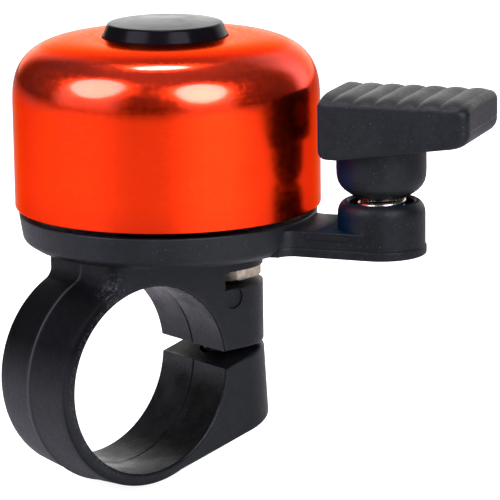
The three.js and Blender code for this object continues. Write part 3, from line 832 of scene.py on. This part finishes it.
def bore():
    """The handlebar's hole: rounded at both mouths, with a fine mould step half way across."""
    flare = 0.28
    profile = [(0, -HALF_WIDTH - 3), (BAR_RADIUS + flare, -HALF_WIDTH - 3)]
    profile.append((BAR_RADIUS + flare, -HALF_WIDTH))
    for shrink, rise in round_over(flare):
        profile.append((BAR_RADIUS + shrink, -HALF_WIDTH + rise))
    profile += [(BAR_RADIUS, -0.12), (BAR_RADIUS + 0.26, 0.05), (BAR_RADIUS + 0.1, 0.3)]
    for shrink, rise in reversed(round_over(flare)):
        profile.append((BAR_RADIUS + 0.1 + shrink * 0.8, HALF_WIDTH - rise))
    profile += [(BAR_RADIUS + flare, HALF_WIDTH + 3), (0, HALF_WIDTH + 3)]
    return lathe(profile, ACROSS_BAR, 200)


def lug_half_width(x, end_x, left_x, left_round):
    """Half the lug's width in plan: straight, with a broad round at its outer end.

    A left_round above 0 rounds the corner at its inner end, left_x, too.
    """
    straight = end_x - LUG_ROUND
    widest = HALF_WIDTH + LUG_PROUD
    half = widest
    if x > straight:
        half = widest - LUG_ROUND + math.sqrt(max(0.0, LUG_ROUND ** 2 - (x - straight) ** 2))
    if x < left_x + left_round:
        half -= left_round - math.sqrt(max(0.0, left_round ** 2 - (left_x + left_round - x) ** 2))
    return max(0.02, half)


def lug_stations(start_x, end_x, inner_round):
    """Places along a lug, closer together round its inner corners and its outer end."""
    middle_steps = 28
    stations = []
    if inner_round:
        stations = [start_x + inner_round * (1 - math.cos(angle)) for angle in quarter(12)[:-1]]
    first = start_x + inner_round
    straight = end_x - LUG_ROUND
    for k in range(middle_steps + 1):
        stations.append(first + (straight - first) * k / middle_steps)
    return stations + round_stations(end_x, LUG_ROUND, 30)[1:]


def lug(start_x, end_x, low_at, high_at, edge, lean=0.0, front_round=0.0, back_round=0.0):
    """A block along X between two height functions, its long edges and outer end rounded."""
    loops = []
    for x in lug_stations(start_x, end_x, max(front_round, back_round)):
        front = lug_half_width(x, end_x, start_x, front_round)
        back = lug_half_width(x, end_x, start_x, back_round)
        sink = round_drop(x, end_x, edge)
        low, high = low_at(x) + sink, high_at(x) - sink
        corner = min(edge, front * 0.9, back * 0.9)
        outline = rounded([(-front, low, corner), (back, low, corner),
                           (back, high, corner), (-front, high, corner)])
        loops.append([(x - lean * p.y, p.x, p.y) for p in outline])
    return skin(loops)


def neck_block():
    """Neck and upper lug, from the top of the ring's split up into the disc."""
    return lug(NECK_X, LUG_END_X, lambda x: UPPER_LUG_Z, lambda x: DISC_LOW + 0.9, 0.4,
               front_round=NECK_FRONT_ROUND, back_round=NECK_BACK_ROUND)


def neck_fillet_stations():
    """Places across the ring, with finer ones round the neck's broad front corner."""
    round_end = -HALF_WIDTH + NECK_FRONT_ROUND
    front = [round_end - NECK_FRONT_ROUND * math.sin(angle) for angle in quarter(12)]
    return sorted(front + [y for y in ring_stations() if y > round_end])


def neck_fillet():
    """Hollow curve that carries the neck's inner wall on to the ring."""
    hollow = 1.6
    into_neck = 1.2
    into_ring = 0.5
    loops = []
    for y in neck_fillet_stations():
        radius = ring_radius(y) - 0.01
        wall = NECK_X + round_drop(abs(y), HALF_WIDTH, NECK_FRONT_ROUND if y < 0 else NECK_BACK_ROUND)
        centre_x = wall - hollow
        rise = math.sqrt((radius + hollow) ** 2 - (centre_x - RING_CENTRE[0]) ** 2)
        centre_z = RING_CENTRE[1] + rise
        toward = Vector((RING_CENTRE[0] - centre_x, RING_CENTRE[1] - centre_z)).normalized()
        end_angle = math.degrees(math.atan2(toward.y, toward.x))
        curve = arc((centre_x, centre_z), hollow, 0, end_angle, 10)
        on_ring = curve[-1]
        inner_x = wall + into_neck
        inner = [
            on_ring + toward * into_ring,
            Vector((inner_x, on_ring.y - 0.6)),
            Vector((inner_x, centre_z)),
        ]
        loops.append([(p.x, y * 0.998, p.y) for p in curve + inner])
    return skin(loops)


def jaw_lug():
    def under(x):
        return 0.25 * x - 12.5

    def over(x):
        slope = (JAW_TOP_Z + 1.15) / (17.2 - 9.0)
        return min(JAW_TOP_Z, JAW_TOP_Z + (x - 17.2) * slope)

    return lug(3.0, LUG_END_X + 0.1, under, over, 0.42, lean=JAW_LEAN)


def nut_slot():
    """The nut's slot, open to the front and to the lug's outer end."""
    low, high = 8.85, 11.05
    inner, outer = 11.13, LUG_END_X + 2
    front, back = -8.5, 4.57
    outline = rounded([(inner, front), (outer, front), (outer, back), (inner, back, 0.5)])
    return prism(outline, low, high, 0.12)


def screw_holes():
    """Holes through the upper lug and the jaw, and the counterbore for the screw's head."""
    below, seat, head_room = -15, -4.5, 4.3
    upper = rod(3.15, (JAW_TOP_Z + UPPER_LUG_Z) / 2, 14.2, ON_SCREW, 48)
    lower = rod(2.9, below, 3, ON_SCREW, 50)
    profile = [(0, below), (head_room, below), (head_room, seat, 0.15), (0, seat)]
    return upper, lower, lathe(profile, ON_SCREW, 64)


def ejector_marks():
    """Round marks left by the mould: one on the neck's face and three under the disc."""
    marks = []
    on_face = Matrix.Translation((12.4, -HALF_WIDTH, 7.9)) @ Matrix.Rotation(math.radians(90), 4, "X")
    marks.append(lathe([(0, -0.3), (1.3, -0.3, 0.1), (1.42, 1), (0, 1)], on_face, 48))
    for angle in (55, 100, 145):
        turn = math.radians(angle)
        place = Matrix.Translation((BELL_X + 13.2 * math.cos(turn), 13.2 * math.sin(turn), DISC_LOW))
        marks.append(lathe([(0, -1), (1.25, -1), (1.2, 0.16, 0.05), (0, 0.16)], place, 40))
    return marks


def base_and_clamp(material):
    body = disc()
    body = combine(body, "UNION", post(), arm(), boss(), neck_block())
    body = combine(body, "UNION", neck_fillet())
    body = combine(body, "UNION", ring_band(110, 318))
    body = combine(body, "UNION", jaw_lug())
    upper, lower, counterbore = screw_holes()
    body = combine(body, "DIFFERENCE", bore(), spring_pocket(), nut_slot())
    body = combine(body, "DIFFERENCE", upper, counterbore)
    body = combine(body, "DIFFERENCE", lower, *ejector_marks())
    shape = piece("base_and_clamp", body, material, "moulded_plastic", "base_body", "clamp_jaw")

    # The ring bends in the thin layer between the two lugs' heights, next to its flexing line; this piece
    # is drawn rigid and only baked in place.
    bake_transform(shape)


# ---- dome and cap ----


def shoulder(depth, steps=56):
    """The dome's curved shoulder, from the wall to the crown, at a depth inside its outer skin."""
    points = []
    for angle in quarter(steps):
        across = (SHOULDER_REACH - depth) * math.cos(angle) ** (2 / SHOULDER_POWER)
        rise = (SHOULDER_RISE - depth) * math.sin(angle) ** (2 / SHOULDER_POWER)
        points.append((DOME_RADIUS - SHOULDER_REACH + across, SHOULDER_START + rise))
    return points


def dome(material):
    crown = SHOULDER_START + SHOULDER_RISE
    hole = 2.9
    outside = [(DOME_RADIUS, DOME_RIM, 0.28)] + shoulder(0.0)
    recess = [
        (RECESS_RADIUS, crown + 0.1, 0.25), (RECESS_RADIUS, RECESS_FLOOR, 0.15),
        (hole, RECESS_FLOOR), (hole, RECESS_FLOOR - DOME_WALL),
        (RECESS_RADIUS + 0.6, RECESS_FLOOR - DOME_WALL),
    ]
    inside = list(reversed(shoulder(DOME_WALL, 32)))
    rim = [(DOME_RADIUS - DOME_WALL, DOME_RIM, 0.2)]
    shape = lathe(outside + recess + inside + rim, ON_BELL, 192, closed=True)
    piece("dome_shell", shape, material, "anodised_dome", "dome", body="base")


def cap(material):
    low = RECESS_FLOOR + 0.15
    pocket = 4.75
    crown = []
    for k in range(1, 9):
        share = 1 - k / 8
        crown.append(((CAP_TOP_RADIUS - 0.5) * share, CAP_TOP + CAP_CROWN * (1 - share ** 2)))
    profile = [
        (pocket, low), (CAP_BASE_RADIUS, low, 0.1), (CAP_BASE_RADIUS, low + 0.8, 0.25),
        (CAP_TOP_RADIUS, CAP_TOP, 0.42),
    ]
    profile += crown
    profile += [(0, CAP_TOP - 0.8), (pocket, CAP_TOP - 0.8, 0.1)]
    shape = lathe(profile, ON_BELL, 144, closed=True)
    piece("crown_cap", shape, material, "gloss_cap", "dome_cap", body="base")


# ---- spring, lever and strike pin ----


def coil(start, end, place):
    """Round wire along part of the spring's helix, start and end counted in turns."""
    wire_sides = 14
    steps = max(2, int((end - start) * 64))
    phase = math.radians(205)
    climb = COIL_PITCH / (2 * math.pi)
    loops = []
    for k in range(steps + 1):
        turns = start + (end - start) * k / steps
        angle = phase + 2 * math.pi * turns
        across, along = COIL_RADIUS * math.cos(angle), COIL_RADIUS * math.sin(angle)
        centre = Vector((across, along, SPRING_LOW + turns * COIL_PITCH))
        forward = Vector((-along, across, climb))
        outward = Vector((math.cos(angle), math.sin(angle), 0))
        upward = forward.normalized().cross(outward)
        loop = []
        for i in range(wire_sides):
            turn = 2 * math.pi * i / wire_sides
            loop.append(centre + WIRE_RADIUS * (math.cos(turn) * outward + math.sin(turn) * upward))
        loops.append(loop)
    return skin(loops, place)


def spring(material):
    """Two lengths of one spring, split at the height of the striker's pivot: the lower from the base up to
    it, the upper on into the lever. Both are baked in place.
    """
    pivot = JOINTS["striker_rock"]["pos_m"]
    pivot_z = (pivot[2] - BORE.z) / MM
    split = (pivot_z - SPRING_LOW) / COIL_PITCH
    lower = piece("spring_lower", coil(0, split, ON_BOSS), material, "spring_steel", "striker_spring")
    upper = piece("spring_upper", coil(split, SPRING_TURNS, ON_BOSS), material, "spring_steel")
    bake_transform(lower)
    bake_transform(upper)


def paddle_top(u, s):
    """Height of the paddle's top: crowned across, with rounded lobes between sharp valleys."""
    side = min(1.0, abs(s) / (PADDLE_HALF_WIDTH - 0.25))
    cover = 1 - side ** 5
    lobe = abs(math.sin(math.pi * (u - FIRST_VALLEY) / RIB_PITCH)) ** 0.75
    return PADDLE_EDGE + cover * (PADDLE_CROWN - RIB_DEPTH * (1 - lobe))


def paddle_loop(s):
    """Side outline of the paddle at one place across it."""
    side = abs(s)
    corner = 1.25 if s < 0 else 2.2
    shrink = round_drop(side, PADDLE_HALF_WIDTH, corner)
    outer = PADDLE_OUTER - min(shrink, corner * 0.92)
    inner = PADDLE_INNER + min(shrink, corner) * 0.35
    under = [
        (inner, 32.9, 0.25), (inner, 26.75, 1.1), (23.2, 26.7, 0.5), (28.0, 27.4, 3.0),
        (34.0, 28.3, 6.0), (outer - 1.75, 28.65),
    ]
    line = rounded(under, 6, closed=False)
    line += bend((outer - 1.75, 28.65), (outer - 0.02, 28.95), (outer, 30.55), 9)[1:]
    line += [Vector((outer - 0.07, 30.65)), Vector((outer, 30.75))]
    round_width, round_height = 1.0, 0.95
    start = outer - round_width
    start_z = paddle_top(start, s)
    for angle in quarter(10)[:-1]:
        height = start_z - round_height * (1 - math.sin(angle))
        line.append(Vector((start + round_width * math.cos(angle), height)))
    top_steps = 150
    end = inner + 0.3
    for k in range(top_steps + 1):
        u = start + (end - start) * k / top_steps
        line.append(Vector((u, paddle_top(u, s))))
    fallen = round_drop(side, PADDLE_HALF_WIDTH, PADDLE_EDGE_ROUND)
    return [(p.x, s, p.y) for p in inset(line, fallen)]


def paddle():
    flat = [0.9, 1.8, 2.7, 3.5, 4.2, 4.8, 5.3, 5.7, 6.0, 6.25, 6.45, 6.6]
    stations = both_ways(flat + round_stations(PADDLE_HALF_WIDTH, PADDLE_EDGE_ROUND))
    return skin([paddle_loop(s) for s in stations], ON_ARM)


def cup():
    profile = [
        (0, CUP_LOW), (3.3, CUP_LOW, 0.1), (3.85, 22.08, 0.3), (4.35, 22.45, 0.3),
        (4.75, 22.9, 0.3), (5.02, 23.4, 0.3), (5.16, 24.0, 0.4), (CUP_RADIUS, 24.8, 0.5),
        (CUP_RADIUS - 0.02, 28.6), (0, 28.6),
    ]
    return lathe(profile, ON_BOSS, 96)


def cup_hollow():
    mouth = 3.1
    ceiling = 26.7
    pocket = lathe([(0, CUP_LOW - 1), (mouth + 0.12, CUP_LOW - 1), (mouth + 0.12, CUP_LOW),
                    (mouth, CUP_LOW + 0.15), (mouth, ceiling), (0, ceiling)], ON_BOSS, 72)
    spigot = rod(SPIGOT_RADIUS, ceiling - 3.2, ceiling + 0.5, ON_BOSS, 48)
    return combine(pocket, "DIFFERENCE", spigot)


def pin_place():
    """The pin lies along the arm with its domed end towards the dome."""
    inner_end = ON_ARM @ Matrix.Translation((PADDLE_INNER, 0, PIN_Z))
    return inner_end @ Matrix.Rotation(math.radians(-90), 4, "Y")


def lever(material):
    shape = combine(paddle(), "UNION", cup())
    shape = combine(shape, "DIFFERENCE", cup_hollow(), rod(1.55, -5.3, 1.0, pin_place(), 40))
    piece("thumb_lever", shape, material, "lever_plastic", "striker_lever", body="lever")


def strike_pin(material):
    profile = [(0, -5.25), (1.5, -5.25), (1.5, 0.75, 0.55), (0, 0.75)]
    shape = lathe(profile, pin_place(), 48, round_steps=8)
    piece("striker_tip", shape, material, "spring_steel", "strike_pin", body="lever")


# ---- pinch screw and nut ----


def hexagon(across_flats, turn=0.0):
    corner = across_flats / math.sqrt(3)
    points = []
    for i in range(6):
        angle = turn + i * math.pi / 3
        points.append(Vector((corner * math.cos(angle), corner * math.sin(angle))))
    return points


def threaded_rod(radius, low, high, place):
    """A rod with a real helical thread, chamfered at its top end."""
    sides = 40
    rows_per_turn = 8
    rows = int((high - low) / THREAD_PITCH * rows_per_turn)
    loops = []
    for k in range(rows + 1):
        z = low + (high - low) * k / rows
        taper = max(0.0, z - (high - 0.7))
        fade = min(1.0, (z - low) / 0.6)
        loop = []
        for i in range(sides):
            share = i / sides
            phase = ((z - low) / THREAD_PITCH - share) % 1.0
            groove = THREAD_DEPTH * fade * (1 - abs(2 * phase - 1)) - THREAD_DEPTH * 0.15
            here = radius - max(0.0, groove) - taper * 0.8
            angle = 2 * math.pi * share
            loop.append((here * math.cos(angle), here * math.sin(angle), z))
        loops.append(loop)
    return skin(loops, place)


def clamp_screw(material):
    seat = -4.55
    head = 3.0
    head_radius = 4.0
    shank_radius = 2.4
    tip = 13.2
    low = seat - head
    profile = [
        (0, low), (head_radius, low, 0.4), (head_radius, seat, 0.12), (shank_radius, seat),
        (shank_radius, seat + 2.2), (0, seat + 2.2),
    ]
    body = lathe(profile, ON_SCREW, 72)
    body = combine(body, "UNION", threaded_rod(2.45, seat + 2.0, tip, ON_SCREW))
    socket = prism(hexagon(4.0), low - 1, low + 2.0, 0.0, ON_SCREW)
    mouth = lathe([(0, low - 1), (3.3, low - 1), (2.0, low + 0.3), (0, low + 0.3)], ON_SCREW, 48)
    body = combine(body, "DIFFERENCE", socket, mouth)
    piece("pinch_screw", body, material, "blackened_steel", "clamp_screw", body="screw")


def clamp_nut(material):
    """Hexagon with its corners turned off and a plain, chamfered hole."""
    low, high = 9.25, 10.75
    turn = math.radians(12)
    corner = NUT_FLATS / math.sqrt(3)
    hole_radius = 2.6
    chamfer = [
        (0, low - 0.2), (corner - 0.35, low - 0.05), (corner + 0.1, low + 0.3),
        (corner + 0.1, high - 0.3), (corner - 0.35, high + 0.05), (0, high + 0.2),
    ]
    hole = [
        (0, low - 1), (hole_radius + 1, low - 1), (hole_radius, low + 0.1),
        (hole_radius, high - 0.1), (hole_radius + 1, high + 1), (0, high + 1),
    ]
    body = prism(hexagon(NUT_FLATS, turn), low, high, 0.0, ON_SCREW)
    body = combine(body, "INTERSECT", lathe(chamfer, ON_SCREW, 72))
    body = combine(body, "DIFFERENCE", lathe(hole, ON_SCREW, 48))
    piece("hex_nut", body, material, "zinc_steel", "clamp_nut", body="nut")


# ---- camera, light and floor ----

CAMERA_AZIMUTH = math.radians(-39.55)
CAMERA_ELEVATION = math.radians(12.73)
CAMERA_ROLL = math.radians(-0.76)
CAMERA_DISTANCE = 376.8
CAMERA_LENS = 230.6
AIM_RIGHT = 15.30
AIM_UP = 14.21

LAMP_COLOUR = (1.0, 0.95, 1.18)
LAMP_DISTANCE = 0.6  # in metres, from the middle of the dome
LAMP_AIM_Z = 30


def camera_back(azimuth=0.0, elevation=None):
    """Direction from the bell to the camera, or turned to its right by an azimuth in degrees."""
    side = CAMERA_AZIMUTH + math.radians(azimuth)
    up = CAMERA_ELEVATION if elevation is None else math.radians(elevation)
    return Vector((math.sin(side) * math.cos(up), -math.cos(side) * math.cos(up), math.sin(up)))


def camera_left():
    """Level unit vector to the camera's left."""
    return Vector((-math.cos(CAMERA_AZIMUTH), -math.sin(CAMERA_AZIMUTH), 0))


def camera():
    data = bpy.data.cameras.new("camera")
    data.lens = CAMERA_LENS
    data.sensor_width = 36
    data.clip_start = 0.01
    data.clip_end = 10
    seen = placed("camera", data)
    turn = (-camera_back()).to_track_quat("-Z", "Y") @ Quaternion((0, 0, 1), CAMERA_ROLL)
    right = turn @ Vector((1, 0, 0))
    up = turn @ Vector((0, 1, 0))
    aim = BORE + (AIM_RIGHT * right + AIM_UP * up) * MM
    seen.rotation_mode = "QUATERNION"
    seen.rotation_quaternion = turn
    seen.location = aim + camera_back() * CAMERA_DISTANCE * MM
    bpy.context.scene.camera = seen


def softbox(name, azimuth, elevation, width, height, power):
    """An oval lamp at an azimuth and elevation from the camera's side of the bell, in degrees."""
    data = bpy.data.lights.new(name, "AREA")
    data.shape = "ELLIPSE"
    data.size = width
    data.size_y = height
    data.energy = power
    data.color = LAMP_COLOUR
    lamp = placed(name, data)
    toward = camera_back(azimuth, elevation)
    lamp.location = BORE + Vector((BELL_X * MM, 0, LAMP_AIM_Z * MM)) + toward * LAMP_DISTANCE
    lamp.rotation_mode = "QUATERNION"
    lamp.rotation_quaternion = toward.to_track_quat("Z", "Y")
    lamp.visible_camera = False


def floor_material():
    """Pale paper, made to glow for the camera so that it reads as plain white.

    To everything else it glows only in a pool to the camera's right, and is dimmer in front.
    """
    look = Look("floor_white", Roughness=0.9)
    level = look.flat(look.node("NewGeometry").outputs["Position"])
    out = look.vectors("SUBTRACT", level, (at_x(BELL_X), BORE.y, 0))["Vector"]
    far = look.remap(look.vectors("LENGTH", out)["Value"], 0.22, 0.9, 0.0, 1.0, True)
    dim = look.lobe(out, -9, 8, 44)
    pool = look.lobe(out, 34, 8, 34)
    in_front = look.times(far, look.lobe(out, -10, 16, 36))
    paper = look.mix(dim, grey(0.66), grey(0.44))
    look.set("Base Color", look.mix(in_front, paper, grey(0.14)))
    look.set("Specular IOR Level", 0.0)
    look.set("Emission Color", grey(1.0))
    seen = look.node("LightPath").outputs["Is Camera Ray"]
    unseen = look.maths("SUBTRACT", 1.0, seen)
    glow = look.times(pool, 0.55, unseen)
    look.set("Emission Strength", look.maths("ADD", glow, look.times(seen, 0.9)))
    return look.material


def floor():
    reach = 4.0
    corners = [(-reach, -reach, 0), (reach, -reach, 0), (reach, reach, 0), (-reach, reach, 0)]
    mesh = bpy.data.meshes.new("floor")
    mesh.from_pydata(corners, [], [(0, 1, 2, 3)])
    mesh.materials.append(floor_material())
    ground = placed("floor", mesh)
    ground.location = (0, 0, cad_low.z - 0.0005)


def world():
    """A dim, warm room: a bright backdrop behind the bell and a low glow on both sides of the camera.

    The camera itself sees plain white past the floor's edge.
    """
    made = bpy.data.worlds.new("studio")
    bpy.context.scene.world = made
    made.use_nodes = True
    sky = Nodes(made.node_tree)
    direction = sky.node("TexCoord").outputs["Generated"]
    level = sky.flat(direction)
    height = sky.axes(direction)[2]
    room = sky.fade(height, (0.0, 0.10), (0.5, 0.13), (0.8, 0.22), (0.93, 0.36))
    screen = sky.fade(height, (0.0, 1.0), (0.17, 0.96), (0.3, 0.8), (0.5, 0.55), (0.7, 0.16), (0.8, 0.0))
    backdrop = sky.times(screen, 1.85)
    low_glow = sky.fade(height, (0.0, 1.0), (0.40, 0.95), (0.58, 0.5), (0.75, 0.0))
    total = room
    glows = ((163, 30, 50, backdrop), (-62, 17, 33, low_glow), (33, 13, 24, low_glow))
    for azimuth, full, none, lit in glows:
        total = sky.maths("ADD", total, sky.times(sky.lobe(level, azimuth, full, none), lit))
    tint = sky.mix(sky.maths("DIVIDE", room, total), grey(1.0), (1.0, 0.74, 0.6, 1))
    seen = sky.node("LightPath").outputs["Is Camera Ray"]
    lighting = sky.times(total, sky.maths("SUBTRACT", 1.0, seen))
    background = made.node_tree.nodes["Background"]
    sky.feed(sky.mix(seen, tint, grey(1.0)), background.inputs["Color"])
    sky.feed(sky.maths("ADD", lighting, seen), background.inputs["Strength"])


def studio():
    world()
    floor()
    softbox("softbox_left", -60, 36, 0.42, 0.44, 3.4)
    softbox("softbox_right", 30, 31, 0.38, 0.44, 3.9)
    softbox("lamp_above", 8, 106, 0.18, 0.12, 1.1)
    view = bpy.context.scene.view_settings
    view.view_transform = "Standard"
    view.look = "None"


# ---- assembly ----


def build():
    dark, light = (0.0038, 0.0043, 0.0048, 1), (0.0084, 0.0096, 0.0104, 1)
    # The dark blue colours given to moulded() are painted reflections on faces turned to the camera's left.
    charcoal = moulded("charcoal_plastic", dark, light, 0.46, (0.0, 0.010, 0.026, 1), is_base=True)
    lever_black = moulded("lever_plastic", dark, light, 0.48, (0.0, 0.014, 0.045, 1))
    black_steel = plated("blackened_steel", (0.05, 0.048, 0.046, 1), (0.02, 0.019, 0.018, 1), 0.42)
    zinc = plated("zinc_plate", (0.60, 0.56, 0.43, 1), (0.36, 0.29, 0.17, 1), 0.36)
    wire = plated("drawn_wire", (0.46, 0.44, 0.38, 1), (0.26, 0.23, 0.18, 1), 0.28, 2.0)
    oiled_steel = plated("oiled_steel", (0.10, 0.095, 0.09, 1), (0.05, 0.046, 0.043, 1), 0.34)
    nylon = natural_nylon()
    base_and_clamp(charcoal)
    dome(anodised_orange())
    cap(gloss_black())
    spring(wire)
    lever(lever_black)
    strike_pin(oiled_steel)
    clamp_screw(black_steel)
    clamp_nut(zinc)
    # The fixings under the dome keep their CAD shapes and only take a material.
    for node, material in (("dome_bush", nylon), ("dome_washer", zinc), ("dome_screw", zinc)):
        looks = frame["nodes"][node].data.materials
        looks.clear()
        looks.append(material)


build()
studio()
camera()
